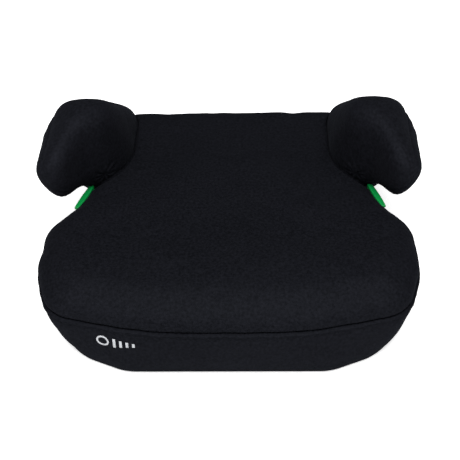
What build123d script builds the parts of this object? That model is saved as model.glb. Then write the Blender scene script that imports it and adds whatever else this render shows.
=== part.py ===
"""Backless booster seat: a moulded shell, two bolted armrests, belt guides, foam padding and a sewn cover.

Millimetres. +Z is up, +Y is towards the back of the vehicle seat, and the origin is on the floor under the
middle of the seat. Each function below returns one physical piece, or one group of identical fasteners.
"""

import os
from math import atan2, hypot, tan

from build123d import *

# ---------------------------------------------------------------- driving dimensions
DEPTH = 380.0                 # front to back at the seam
FRONT_WIDTH = 427.0           # across the thighs
ARM_WIDTH = 440.0             # across both armrests
ARM_TOP = 196.0               # height of the armrest crest
SEAT_TOP = 98.0               # height of the seat surface
SEAM_Z = 71.0                 # height of the seam that joins the seat panel to the skirt
HEM_Z = 4.0                   # height of the skirt's hem above the floor

FABRIC = 2.2                  # laminated cover fabric
LAYER_GAP = 0.5               # air left between one layer and the next
FOAM_ARM = 6.8                # foam around the armrest frame
WALL = 3.0                    # moulded wall
RIB = 2.5

SHELL_INSET = 4.0             # from the skirt's outside to the shell's outside
SHELL_BOTTOM = 7.4
DECK_TOP = 62.0
PAD_BOTTOM = DECK_TOP + 0.3
PAD_EDGE_RADIUS = 20.0        # rounding of the seat panel's upper edge

BASE_BOTTOM = 9.0
BASE_THICKNESS = 3.0
FOOT_RADIUS = 15.0
FOOT_HEIGHT = 5.5
FOOT_SOCKET_BOTTOM = 3.0
FOOT_POINTS = [(112, -118), (-112, -118), (108, 138), (-108, 138)]
BASE_SCREW_POINTS = [(70, -112), (-70, -112), (122, 12), (-122, 12), (70, 118), (-70, 118)]
SCREW_RADIUS = 2.0
SCREW_LENGTH = 18.0
BOSS_RADIUS = 5.5

ARM_INNER_X = 124.0           # inner face of the armrest at the seat seam
ARM_FRONT_Y = 44.0            # front of the armrest's root, at the back of the belt slot
EAR_BOTTOM = 105.0            # underside of the armrest's free front end
EAR_FRONT_Y = -18.0           # foremost point of the free end
ARM_CORNER_X = ARM_WIDTH / 2 + 3.5     # widest corner of the armrest's front profile, before rounding
ARM_CORNER_Z = 152.0

TONGUE_X = (139.4, 146.4)     # upstanding tongue of the shell inside each armrest
TONGUE_Y = (97.0, 165.0)
TONGUE_TOP = 94.0
BOLT_RADIUS = 3.0
BOLT_Z = 82.0
BOLT_YS = (112.0, 150.0)
BOLT_HEAD_X = 152.0
ARM_SCREW_POINTS = [(63.0, 137.0), (102.0, 132.0)]    # (y, z) of the screws that close the armrest halves
ARM_SCREW_LENGTH = 38.0

GUIDE_FRONT = (178.6, -1.1)   # front and back end of the belt guide's plate, in plan
GUIDE_BACK = (164.9, 41.1)
GUIDE_LIP_WIDTH = 5.2
GUIDE_LIP_Z = (87.0, 91.5)
GUIDE_PLATE = 3.4
GUIDE_FLANGE = 27.0
GUIDE_FLANGE_Z = (PAD_BOTTOM, PAD_BOTTOM + 3.0)
GUIDE_PLATE_BOTTOM = PAD_BOTTOM

HEM_FRONT_Y = -181.0          # the skirt's lower edge, in plan
HEM_BACK_Y = 182.0
HEM_SIDE_X = 187.0
HEM_WIDTH = 17.0              # turned-under hem, from the skirt's outside to the elastic's tunnel
TUNNEL_WIDTH = 8.0
ELASTIC_WIDTH = 5.6

FAR = 400.0                   # larger than the object, for cutting solids


# ---------------------------------------------------------------- outlines
class Outline:
    """A closed outline with rounded corners, as [(x, y, radius), ...] counter-clockwise."""

    def __init__(self, corners):
        self.corners = [tuple(map(float, corner)) for corner in corners]

    def _sides(self):
        count = len(self.corners)
        for i in range(count):
            (x0, y0, _), (x1, y1, _) = self.corners[i], self.corners[(i + 1) % count]
            length = hypot(x1 - x0, y1 - y0)
            yield x0, y0, (x1 - x0) / length, (y1 - y0) / length

    def inset(self, distance):
        """The same outline with every side moved inwards, and its corner radii to match."""
        sides = [(x - dy * distance, y + dx * distance, dx, dy) for x, y, dx, dy in self._sides()]
        moved = []
        for i, (_, _, radius) in enumerate(self.corners):
            (xa, ya, ax, ay), (xb, yb, bx, by) = sides[i - 1], sides[i]
            turn = ax * by - ay * bx
            along = ((xb - xa) * by - (yb - ya) * bx) / turn
            if radius:
                radius = max(radius - distance if turn > 0 else radius + distance, 0.5)
            moved.append((xa + ax * along, ya + ay * along, radius))
        return Outline(moved)

    def between(self, other, share):
        """The outline that lies share of the way from this one to another with as many corners."""
        return Outline([tuple(a + (b - a) * share for a, b in zip(mine, theirs))
                        for mine, theirs in zip(self.corners, other.corners)])

    def face(self, plane):
        """The outline as a face on a plane, its sides joined by tangent arcs."""
        sides = list(self._sides())
        arcs = []
        for i, (x, y, radius) in enumerate(self.corners):
            _, _, ax, ay = sides[i - 1]
            _, _, bx, by = sides[i]
            turn = atan2(ax * by - ay * bx, ax * bx + ay * by)
            reach = radius * abs(tan(turn / 2))
            start, end = (x - ax * reach, y - ay * reach), (x + bx * reach, y + by * reach)
            side = 1 if turn > 0 else -1
            centre = (start[0] - ay * radius * side, start[1] + ax * radius * side)
            to_corner = hypot(x - centre[0], y - centre[1])
            middle = None
            if radius:
                middle = (centre[0] + (x - centre[0]) * radius / to_corner,
                          centre[1] + (y - centre[1]) * radius / to_corner)
            arcs.append((start, middle, end))
        edges = []
        for i, (start, middle, end) in enumerate(arcs):
            def place(point):
                return plane.from_local_coords((point[0], point[1], 0))
            if middle:
                edges.append(ThreePointArc(place(start), place(middle), place(end)))
            edges.append(Line(place(end), place(arcs[(i + 1) % len(arcs)][0])))
        return Face(Wire(edges))


def mirrored_outline(right_half):
    """A left-right symmetric outline from the corners of its right half, front to back."""
    return Outline(right_half + [(-x, y, radius) for x, y, radius in reversed(right_half)])


BODY_AT_SEAM = mirrored_outline([(84, -DEPTH / 2, 330), (195, -162, 46), (FRONT_WIDTH / 2, -100, 100),
                                 (FRONT_WIDTH / 2, -35, 52), (169, 32, 120), (172, DEPTH / 2, 30)])
BODY_AT_HEM = mirrored_outline([(106, HEM_FRONT_Y, 60), (187.5, -148, 66), (HEM_SIDE_X, -92, 20),
                                (186, -72, 30), (155, 50, 40), (160, HEM_BACK_Y, 28)])

ARM_SIDE = Outline([(50, 40, 0), (186, 40, 0), (186, 98, 25), (68, ARM_TOP, 36),
                    (EAR_FRONT_Y - 12, ARM_TOP, 42), (EAR_FRONT_Y - 12, EAR_BOTTOM, 16),
                    (ARM_FRONT_Y, EAR_BOTTOM, 10)])
ARM_FRONT = Outline([(ARM_INNER_X, 40, 0), (149, 40, 0), (ARM_CORNER_X, ARM_CORNER_Z, 14), (181, ARM_TOP, 34),
                     (145, ARM_TOP, 24), (125, 98, 60)])
ARM_PLAN = Outline([(191, EAR_FRONT_Y, 8), (214, EAR_FRONT_Y, 10), (226, 0, 20), (226, 70, 60), (178, 190, 25),
                    (ARM_INNER_X, 190, 4), (ARM_INNER_X, 85, 50), (148, 46, 25), (172, ARM_FRONT_Y, 6)])
ARM_ROOT = Outline([(ARM_INNER_X, 85, 50), (148, 46, 25), (406, 20, 0), (406, 400, 0), (ARM_INNER_X, 400, 0)])
ARM_HALVES = Outline([(90, 30, 0), (142, 30, 0), (142, 104, 0), (176, 150, 0), (178, 260, 0), (90, 260, 0)])
ARM_TOP_PANEL = Outline([(90, 30, 0), (139, 40, 0), (172, EAR_BOTTOM, 20), (190, 126, 14), (207, 141, 14),
                         (211, 160, 20), (203, 260, 0), (90, 260, 0)])


def level(z):
    """A horizontal plane at height z."""
    return Plane.XY.offset(z)


def body_outline(z):
    """The body's outside at a height between the hem and the seam."""
    return BODY_AT_HEM.between(BODY_AT_SEAM, (z - HEM_Z) / (SEAM_Z - HEM_Z))


def body_block(inset, z0, z1):
    """The tapered body below the seam, inset from its outside."""
    return loft([body_outline(z).inset(inset).face(level(z)) for z in (z0, z1)], ruled=True)


def ring(outer, inner, z0, z1):
    """A flat band that follows the hem, between two insets and two heights."""
    outline = body_outline(HEM_Z)
    faces = [outline.inset(inset).face(level(z0)) for inset in (outer, inner)]
    return extrude(faces[0], z1 - z0) - extrude(faces[1], z1 - z0)


def box_between(x, y, z):
    """A box from three (low, high) pairs."""
    return Pos(sum(x) / 2, sum(y) / 2, sum(z) / 2) * Box(x[1] - x[0], y[1] - y[0], z[1] - z[0])


def rod(radius, start, end):
    """A cylinder from one point to another."""
    start, end = Vector(*start), Vector(*end)
    plane = Plane(origin=start, z_dir=end - start)
    return extrude(plane * Circle(radius), (end - start).length)


def side_profile(outline):
    return extrude(outline.face(Plane.YZ), FAR, both=True)


def front_profile(outline):
    return extrude(outline.face(Plane.XZ), FAR, both=True)


def plan_profile(outline, z0=0.0):
    return extrude(outline.face(level(z0)), FAR)


def left_copy(part):
    return mirror(part, about=Plane.YZ)


def both_sides(part):
    return [part, left_copy(part)]


# ---------------------------------------------------------------- armrests (drawn on the right)
def arm_envelope(inset):
    """The armrest's padded outside, or a layer inside it. Its foot runs down past the seam."""
    return (side_profile(ARM_SIDE.inset(inset)) & front_profile(ARM_FRONT.inset(inset))
            & plan_profile(ARM_PLAN.inset(inset)))


def above(part, z):
    """The part of a solid that is above height z."""
    return part & box_between((-FAR, FAR), (-FAR, FAR), (z, FAR))


def inner_side(outline):
    """The space inboard of a split line drawn from the front."""
    return front_profile(outline)


FRAME_INSET = FABRIC + LAYER_GAP + FOAM_ARM + 0.3


def arm_frame():
    """The two halves of the moulded armrest, with their screw bosses and bolt bosses."""
    outside = arm_envelope(FRAME_INSET)
    frame = outside - arm_envelope(FRAME_INSET + WALL)
    for y, z in ARM_SCREW_POINTS:
        frame += rod(BOSS_RADIUS, (120, y, z), (240, y, z)) & outside
    for y in BOLT_YS:
        frame += rod(BOSS_RADIUS + 2, (TONGUE_X[1] + 0.3, y, BOLT_Z), (240, y, BOLT_Z)) & outside
    frame = above(frame, DECK_TOP + 0.2)
    for y, z in ARM_SCREW_POINTS:
        frame -= arm_screw(y, z, clearance=0.1)
    for y in BOLT_YS:
        frame -= root_bolt(y, clearance=0.1)
    inner = frame & inner_side(ARM_HALVES)
    outer = frame - inner_side(ARM_HALVES.inset(-0.1))
    return inner, outer


def outer_wall_x(z):
    """Where the armrest frame's outer face is at a height below its widest point."""
    slope = (ARM_CORNER_X - 149) / (ARM_CORNER_Z - 40)
    return 149 + slope * (z - 40) - FRAME_INSET * hypot(1, slope)


def arm_screw(y, z, clearance=0.0):
    """A pan-head screw driven from the outside, through the outer half into the inner half's boss."""
    head_x = outer_wall_x(z) - 6
    shank = rod(SCREW_RADIUS + clearance, (head_x - ARM_SCREW_LENGTH - clearance, y, z), (head_x, y, z))
    head = rod(SCREW_RADIUS * 2 + clearance, (head_x, y, z), (head_x + (2.6 if not clearance else 30), y, z))
    return shank + head


def root_bolt(y, clearance=0.0):
    """The bolt that runs through an armrest's outer half into the shell's tongue."""
    shank = rod(BOLT_RADIUS + clearance, (TONGUE_X[0] + 0.4, y, BOLT_Z), (BOLT_HEAD_X, y, BOLT_Z))
    head_end = BOLT_HEAD_X + (30 if clearance else 4)
    head = rod(5 + clearance, (BOLT_HEAD_X, y, BOLT_Z), (head_end, y, BOLT_Z))
    socket_plane = Plane(origin=(BOLT_HEAD_X + 1.6, y, BOLT_Z), z_dir=(1, 0, 0))
    socket = extrude(socket_plane * RegularPolygon(2.6, 6), 3)
    return shank + head if clearance else shank + head - socket


def arm_foam():
    hollow = arm_envelope(FABRIC + LAYER_GAP + FOAM_ARM)
    return above(arm_envelope(FABRIC + LAYER_GAP) - hollow, SEAM_Z + 0.3)


def arm_cover():
    """The armrest's two sewn pieces: a panel over its top and inner face, and one over its outer face."""
    sleeve = above(arm_envelope(0) - arm_envelope(FABRIC), SEAM_Z + 0.3)
    top_panel = sleeve & inner_side(ARM_TOP_PANEL)
    outer_panel = sleeve - inner_side(ARM_TOP_PANEL.inset(-0.3))
    return top_panel, outer_panel


# ---------------------------------------------------------------- belt guide (drawn on the right)
def guide_frame():
    """A plane at the front end of the lip: x outwards from the body, y back along the lip, z up."""
    back = Vector(GUIDE_BACK[0] - GUIDE_FRONT[0], GUIDE_BACK[1] - GUIDE_FRONT[1], 0)
    length = back.length
    return Plane(origin=(*GUIDE_FRONT, 0), x_dir=(back.Y / length, -back.X / length, 0)), length


def guide_block(out, along, z):
    plane, _ = guide_frame()
    return plane.location * box_between(out, along, z)


def guide_screw_points():
    plane, length = guide_frame()
    return [plane.from_local_coords((-17, length * share, 0)) for share in (0.28, 0.76)]


def guide_space(gap):
    """The room a belt guide needs where it crosses the cover, the foam and the screw heads."""
    _, length = guide_frame()
    plate = guide_block((-1.0 - gap, GUIDE_PLATE + FAR), (-gap, length + gap),
                        (GUIDE_PLATE_BOTTOM - gap, FAR))
    flange = guide_block((-GUIDE_FLANGE - gap, GUIDE_PLATE), (4 - gap, length - 2 + gap),
                         (GUIDE_FLANGE_Z[0] - gap, GUIDE_FLANGE_Z[1] + 2.6 + gap))
    return plate + flange


def belt_guide():
    """A thick lip on an upright plate, with a flange that is screwed to the shell under the padding."""
    plane, length = guide_frame()
    plate = guide_block((0.2, GUIDE_PLATE), (0, length), (GUIDE_PLATE_BOTTOM, GUIDE_LIP_Z[1] - 2))
    flange = guide_block((-GUIDE_FLANGE, GUIDE_PLATE), (4, length - 2), GUIDE_FLANGE_Z)
    outer, inner = GUIDE_LIP_WIDTH, 0.2
    lens = Wire([ThreePointArc((outer, 0), (outer + 1.0, length / 2), (outer, length)),
                 Line((outer, length), (inner, length)),
                 ThreePointArc((inner, length), (inner - 1.2, length / 2), (inner, 0)),
                 Line((inner, 0), (outer, 0))])
    lip = extrude(Face(lens), GUIDE_LIP_Z[1] - GUIDE_LIP_Z[0])
    lip = fillet(lip.edges().group_by(Axis.Z)[-1] + lip.edges().group_by(Axis.Z)[0], 1.4)
    guide = plate + flange + plane.location * Pos(0, 0, GUIDE_LIP_Z[0]) * lip
    for share in (0.25, 0.5, 0.75):
        web = guide_block((-4, 0.2), (length * share - 1, length * share + 1),
                          (GUIDE_FLANGE_Z[1], GUIDE_FLANGE_Z[1] + 2.4))
        guide += web
    for point in guide_screw_points():
        guide -= rod(SCREW_RADIUS + 0.15, (point.X, point.Y, 40), (point.X, point.Y, 80))
    return guide


def guide_screws():
    screws = []
    for point in guide_screw_points():
        head_z = GUIDE_FLANGE_Z[1]
        screw = rod(SCREW_RADIUS, (point.X, point.Y, head_z - 13), (point.X, point.Y, head_z))
        screw += rod(SCREW_RADIUS * 2, (point.X, point.Y, head_z), (point.X, point.Y, head_z + 2.2))
        screws += both_sides(screw)
    return screws


# ---------------------------------------------------------------- seat shell and base
def shell_inside():
    """The space under the shell's deck, from wall to wall."""
    return body_block(SHELL_INSET + WALL, SHELL_BOTTOM - 1, DECK_TOP - WALL)


def seat_shell():
    """The load-bearing moulding: deck, tapered walls, ribs, screw bosses and the armrest tongues."""
    inside = shell_inside()
    shell = body_block(SHELL_INSET, SHELL_BOTTOM, DECK_TOP) - inside
    rib_bottom = BASE_BOTTOM + BASE_THICKNESS + 0.4
    ribs = [box_between((x - RIB / 2, x + RIB / 2), (-FAR, FAR), (rib_bottom, DECK_TOP)) for x in
            (-135, -90, -45, 0, 45, 90, 135)]
    ribs += [box_between((-FAR, FAR), (y - RIB / 2, y + RIB / 2), (rib_bottom, DECK_TOP)) for y in
             (-140, -85, -30, 40, 85, 150)]
    for rib in ribs:
        shell += rib & inside
    for x, y in BASE_SCREW_POINTS:
        shell += rod(BOSS_RADIUS, (x, y, rib_bottom), (x, y, DECK_TOP - 1))
    for point in guide_screw_points():
        boss_right = rod(BOSS_RADIUS, (point.X, point.Y, DECK_TOP - 14), (point.X, point.Y, DECK_TOP))
        for boss in both_sides(boss_right):
            shell += boss & (inside + body_block(SHELL_INSET, SHELL_BOTTOM, DECK_TOP))
    tongue = box_between(TONGUE_X, TONGUE_Y, (DECK_TOP - WALL, TONGUE_TOP))
    for y in BOLT_YS:
        tongue -= rod(BOLT_RADIUS + 0.3, (120, y, BOLT_Z), (180, y, BOLT_Z))
    for part in both_sides(tongue):
        shell += part
    for x, y in BASE_SCREW_POINTS:
        shell -= rod(SCREW_RADIUS + 0.05, (x, y, 0), (x, y, BASE_BOTTOM + SCREW_LENGTH + 3))
    for point in guide_screw_points():
        for hole in both_sides(rod(SCREW_RADIUS + 0.05, (point.X, point.Y, DECK_TOP - 12),
                                   (point.X, point.Y, DECK_TOP + 5))):
            shell -= hole
    return shell


def base_cover():
    """The plate that closes the underside, with a socket for each rubber foot and ribs between them."""
    top = BASE_BOTTOM + BASE_THICKNESS
    plate = extrude(body_outline(BASE_BOTTOM).inset(SHELL_INSET + WALL + 0.8).face(level(BASE_BOTTOM)),
                    BASE_THICKNESS)
    for x, y in FOOT_POINTS:
        plate += rod(FOOT_RADIUS + 3, (x, y, FOOT_SOCKET_BOTTOM), (x, y, top))
    for x in (-36, 0, 36):
        plate += box_between((x - 3, x + 3), (-120, 130), (BASE_BOTTOM - 2.4, BASE_BOTTOM))
    for y in (-60, 5, 70):
        plate += box_between((-86, 86), (y - 3, y + 3), (BASE_BOTTOM - 2.4, BASE_BOTTOM))
    for x, y in FOOT_POINTS:
        plate -= rod(FOOT_RADIUS + 0.1, (x, y, 0), (x, y, FOOT_HEIGHT + 0.1))
    for x, y in BASE_SCREW_POINTS:
        plate += rod(BOSS_RADIUS + 2, (x, y, BASE_BOTTOM - 2.4), (x, y, BASE_BOTTOM))
        plate -= rod(SCREW_RADIUS + 0.3, (x, y, 0), (x, y, 30))
        plate -= rod(SCREW_RADIUS * 2 + 0.3, (x, y, 0), (x, y, BASE_BOTTOM))
    for x, y, angle in hook_places():
        stem = hook_stem(0.1)
        plate -= Pos(x, y, 0) * Rot(0, 0, angle) * stem
    return plate


def base_screws():
    screws = []
    for x, y in BASE_SCREW_POINTS:
        screw = rod(SCREW_RADIUS, (x, y, BASE_BOTTOM), (x, y, BASE_BOTTOM + SCREW_LENGTH))
        screw += rod(SCREW_RADIUS * 2, (x, y, BASE_BOTTOM - 2), (x, y, BASE_BOTTOM))
        slot = box_between((x - 0.5, x + 0.5), (y - 2.6, y + 2.6), (BASE_BOTTOM - 2, BASE_BOTTOM - 1))
        screws.append(screw - slot)
    return screws


def foot(x, y):
    """A rubber foot with two grip grooves, glued into its socket."""
    pad = rod(FOOT_RADIUS, (x, y, 0), (x, y, FOOT_HEIGHT))
    pad = chamfer(pad.edges().group_by(Axis.Z)[0], 0.8)
    for radius in (5.0, 9.5):
        groove = rod(radius + 0.8, (x, y, 0), (x, y, 0.8)) - rod(radius - 0.8, (x, y, 0), (x, y, 0.8))
        pad -= groove
    return pad


# ---------------------------------------------------------------- padding and cover
def pad_block(inset, bottom, top, edge_radius):
    """The padded seat above the seam, with a rounded upper edge."""
    block = extrude(BODY_AT_SEAM.inset(inset).face(level(bottom)), top - bottom)
    return fillet(block.edges().group_by(Axis.Z)[-1], edge_radius)


def root_space(gap):
    """The corners of the seat that the armrests stand in."""
    return both_sides(plan_profile(ARM_ROOT.inset(-gap)))


def seat_foam():
    inset = FABRIC + LAYER_GAP
    foam = pad_block(inset, SEAM_Z, SEAT_TOP - inset, PAD_EDGE_RADIUS - inset)
    foam += body_block(inset + 0.6, PAD_BOTTOM, SEAM_Z)
    for space in root_space(inset + 0.6) + both_sides(guide_space(0.4)):
        foam -= space
    return foam


def seat_cover_top():
    """The seat panel: the upper skin of the seat, from the front seam over the pad to the back edge."""
    outer = pad_block(0, SEAM_Z + 0.3, SEAT_TOP, PAD_EDGE_RADIUS)
    inner = pad_block(FABRIC, 50, SEAT_TOP - FABRIC, PAD_EDGE_RADIUS - FABRIC)
    outer_cut, inner_cut = outer, inner
    for space in root_space(0.6):
        outer_cut -= space
    for space in root_space(0.6 + FABRIC):
        inner_cut -= space
    panel = outer_cut - inner_cut
    for space in both_sides(guide_space(0.2)):
        panel -= space
    return panel


def seat_cover_skirt():
    """The band below the seam. It tapers to the hem, turns under the shell and holds the elastic."""
    skirt = body_block(0, HEM_Z, SEAM_Z - 0.2) - body_block(FABRIC, HEM_Z - 0.5, SEAM_Z + 0.5)
    skirt += ring(0, HEM_WIDTH, HEM_Z, HEM_Z + 1.8)
    skirt += ring(HEM_WIDTH, HEM_WIDTH + TUNNEL_WIDTH, HEM_Z - 0.6, HEM_Z + 2.8)
    skirt -= ring(HEM_WIDTH + 1, HEM_WIDTH + TUNNEL_WIDTH - 0.8, HEM_Z + 0.4, HEM_Z + 1.8)
    for space in both_sides(guide_space(0.2)):
        skirt -= space
    return skirt


def cover_elastic():
    middle = HEM_WIDTH + TUNNEL_WIDTH / 2 + 0.1
    return ring(middle - ELASTIC_WIDTH / 2, middle + ELASTIC_WIDTH / 2, HEM_Z + 0.6, HEM_Z + 1.6)


def hook_places():
    """(x, y, angle) of each cover hook. The angle turns its outward side from -Y."""
    front, back, side = HEM_FRONT_Y + HEM_WIDTH, HEM_BACK_Y - HEM_WIDTH, HEM_SIDE_X - HEM_WIDTH
    places = [(60, front, 0), (-60, front, 0), (60, back, 180), (-60, back, 180)]
    return places + [(side, -94, 90), (-side, -94, -90)]


def hook_stem(clearance=0.0):
    return rod(2 + clearance, (0, TUNNEL_WIDTH + 2, BASE_BOTTOM - 1),
               (0, TUNNEL_WIDTH + 2, BASE_BOTTOM + BASE_THICKNESS + 0.2 + clearance))


def cover_hooks():
    """J-shaped hooks that snap into the base cover and catch the elastic's tunnel."""
    inner = TUNNEL_WIDTH + 0.6
    side_view = [(inner, 1.0), (inner + 2.8, 1.0), (inner + 2.8, BASE_BOTTOM - 0.1),
                 (inner, BASE_BOTTOM - 0.1), (inner, 2.9), (-1.2, 2.9), (-1.2, 4.0), (-2.6, 4.0), (-2.6, 1.0)]
    face = Face(Wire([Line((0, *a), (0, *b)) for a, b in zip(side_view, side_view[1:] + side_view[:1])]))
    hook = extrude(face, 6, both=True, dir=(1, 0, 0)) + hook_stem()
    return [Pos(x, y, 0) * Rot(0, 0, angle) * hook for x, y, angle in hook_places()]


def cover_print():
    """A plain transfer print on the skirt's front: a ring and four bars, with no lettering."""
    mark_z, left = 52.0, -141.0
    plane = Plane.XZ
    marks = [Pos(left + 7, mark_z) * (Circle(7) - Circle(5))]
    for i, height in enumerate((12, 9, 7, 5)):
        marks.append(Pos(left + 20 + 7 * i, mark_z) * Rectangle(3, height))
    stamps = [extrude(plane * mark, FAR) for mark in marks]
    film = body_block(-0.45, HEM_Z, SEAM_Z - 0.2) - body_block(-0.05, HEM_Z - 0.5, SEAM_Z + 0.5)
    return [stamp & film for stamp in stamps]


# ---------------------------------------------------------------- writing the pieces
def write(name, shape):
    """Writes one piece, or a list of separate identical pieces, as parts/NAME.step."""
    shapes = shape if isinstance(shape, list) else [shape]
    solids = [solid for item in shapes for solid in item.solids()]
    export_step(Compound(children=solids) if len(solids) > 1 else solids[0], f"parts/{name}.step")


def write_pair(name, shape):
    """Writes a right-hand piece and its mirror image."""
    write(f"{name}_right", shape)
    write(f"{name}_left", left_copy(shape))


def main():
    os.makedirs("parts", exist_ok=True)
    write("seat_shell", seat_shell())
    write("base_cover", base_cover())
    write("base_screws", base_screws())
    for (x, y), place in zip(FOOT_POINTS, ("front_right", "front_left", "rear_right", "rear_left")):
        write(f"foot_{place}", foot(x, y))

    inner, outer = arm_frame()
    write_pair("armrest_inner_half", inner)
    write_pair("armrest_outer_half", outer)
    write("armrest_half_screws", [s for y, z in ARM_SCREW_POINTS for s in both_sides(arm_screw(y, z))])
    write("armrest_root_bolts", [b for y in BOLT_YS for b in both_sides(root_bolt(y))])
    write_pair("armrest_foam", arm_foam())
    top_panel, outer_panel = arm_cover()
    write_pair("armrest_cover_top", top_panel)
    write_pair("armrest_cover_outer", outer_panel)

    write_pair("belt_guide", belt_guide())
    write("belt_guide_screws", guide_screws())

    write("seat_foam", seat_foam())
    write("seat_cover_top", seat_cover_top())
    write("seat_cover_skirt", seat_cover_skirt())
    write("cover_elastic", cover_elastic())
    write("cover_hooks", cover_hooks())
    write("cover_print", cover_print())


if __name__ == "__main__":
    main()
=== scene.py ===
"""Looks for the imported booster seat: puffed fabric covers, materials, floor, light and camera."""

import bpy
import math
import numpy as np
from mathutils import Matrix, Vector, bvhtree, kdtree


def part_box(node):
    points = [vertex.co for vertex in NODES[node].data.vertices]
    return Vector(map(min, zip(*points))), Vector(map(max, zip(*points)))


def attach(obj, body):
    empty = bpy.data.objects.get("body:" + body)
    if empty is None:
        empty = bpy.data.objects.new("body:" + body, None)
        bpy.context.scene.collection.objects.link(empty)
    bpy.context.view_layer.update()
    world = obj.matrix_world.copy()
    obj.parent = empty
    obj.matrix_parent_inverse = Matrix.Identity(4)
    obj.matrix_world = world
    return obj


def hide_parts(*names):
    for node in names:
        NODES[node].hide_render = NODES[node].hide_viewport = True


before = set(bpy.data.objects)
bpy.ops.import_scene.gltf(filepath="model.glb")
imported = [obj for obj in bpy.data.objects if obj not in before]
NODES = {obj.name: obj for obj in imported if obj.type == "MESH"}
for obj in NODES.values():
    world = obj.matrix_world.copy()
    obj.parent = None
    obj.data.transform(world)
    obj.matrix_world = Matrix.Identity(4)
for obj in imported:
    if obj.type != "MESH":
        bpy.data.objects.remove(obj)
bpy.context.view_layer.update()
MM = 0.001


# ------------------------------------------------------------------ sizes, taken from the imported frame, in mm
def box_mm(node):
    """A node's packed box: its low and high corners."""
    low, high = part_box(node)
    return np.array(low) / MM, np.array(high) / MM


TOP_LOW, TOP_HIGH = box_mm("seat_cover_top")
ARM_TOP = box_mm("armrest_cover_top_right")[1][2]
ARM_OUT = box_mm("armrest_cover_outer_right")[1][0]
SEAT_TOP = TOP_HIGH[2]
SEAM_GAP = 0.3                             # the seam lies this far below the top panel's edge
SEAM_Z = TOP_LOW[2] - SEAM_GAP
HEM_Z = 2.0
HALF_W = TOP_HIGH[0]
HALF_D = TOP_HIGH[1]


# ------------------------------------------------------------------ outlines and fields
def rounded(corners, step=1.5):
    """Points along a closed counter-clockwise outline whose corners are (x, y, radius)."""
    pts = []
    n = len(corners)
    for i in range(n):
        x0, y0, _ = corners[i - 1]
        x, y, r = corners[i]
        x2, y2, _ = corners[(i + 1) % n]
        a = np.array([x - x0, y - y0], float)
        b = np.array([x2 - x, y2 - y], float)
        a /= np.linalg.norm(a)
        b /= np.linalg.norm(b)
        turn = math.atan2(a[0] * b[1] - a[1] * b[0], a @ b)
        if r <= 0 or abs(turn) < 1e-6:
            pts.append((x, y))
            continue
        reach = r * abs(math.tan(turn / 2))
        start = np.array([x, y]) - a * reach
        side = 1.0 if turn > 0 else -1.0
        centre = start + side * r * np.array([-a[1], a[0]])
        count = max(3, int(abs(turn) * r / step))
        base = start - centre
        for k in range(count + 1):
            ang = turn * k / count
            c, s = math.cos(ang), math.sin(ang)
            pts.append((centre[0] + base[0] * c - base[1] * s, centre[1] + base[0] * s + base[1] * c))
    return np.array(pts)


def polygon_distance(poly, q):
    """Signed distance from points q (n, 2) to a closed polygon, negative inside."""
    a = poly
    b = np.roll(poly, -1, axis=0)
    keep = np.linalg.norm(b - a, axis=1) > 1e-9
    a, b = a[keep], b[keep]
    ab = b - a
    length2 = (ab ** 2).sum(1)
    out = np.empty(len(q))
    for s in range(0, len(q), 20000):
        p = q[s:s + 20000, None, :]
        ap = p - a
        t = np.clip((ap * ab).sum(2) / length2, 0, 1)
        d = np.sqrt(((ap - t[..., None] * ab) ** 2).sum(2)).min(1)
        above = (a[:, 1] > p[..., 1]) != (b[:, 1] > p[..., 1])
        with np.errstate(divide="ignore", invalid="ignore"):
            xcross = a[:, 0] + (p[..., 1] - a[:, 1]) * ab[:, 0] / ab[:, 1]
        inside = (above & (p[..., 0] < xcross)).sum(1) % 2 == 1
        out[s:s + 20000] = np.where(inside, -d, d)
    return out


class Raster:
    """A 2-D signed distance kept on a grid and read back smoothly."""

    def __init__(self, poly, low, high, step=2.0):
        self.low = np.array(low, float)
        self.step = step
        nx, ny = (np.ceil((np.array(high) - self.low) / step).astype(int) + 1)
        xs = self.low[0] + np.arange(nx) * step
        ys = self.low[1] + np.arange(ny) * step
        gx, gy = np.meshgrid(xs, ys, indexing="ij")
        self.grid = polygon_distance(poly, np.column_stack([gx.ravel(), gy.ravel()])).reshape(nx, ny)

    def __call__(self, x, y):
        u = (x - self.low[0]) / self.step
        v = (y - self.low[1]) / self.step
        nx, ny = self.grid.shape
        u = np.clip(u, 0, nx - 1.001)
        v = np.clip(v, 0, ny - 1.001)
        i, j = u.astype(int), v.astype(int)
        fu, fv = u - i, v - j
        g = self.grid
        return ((g[i, j] * (1 - fu) + g[i + 1, j] * fu) * (1 - fv)
                + (g[i, j + 1] * (1 - fu) + g[i + 1, j + 1] * fu) * fv)


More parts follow.
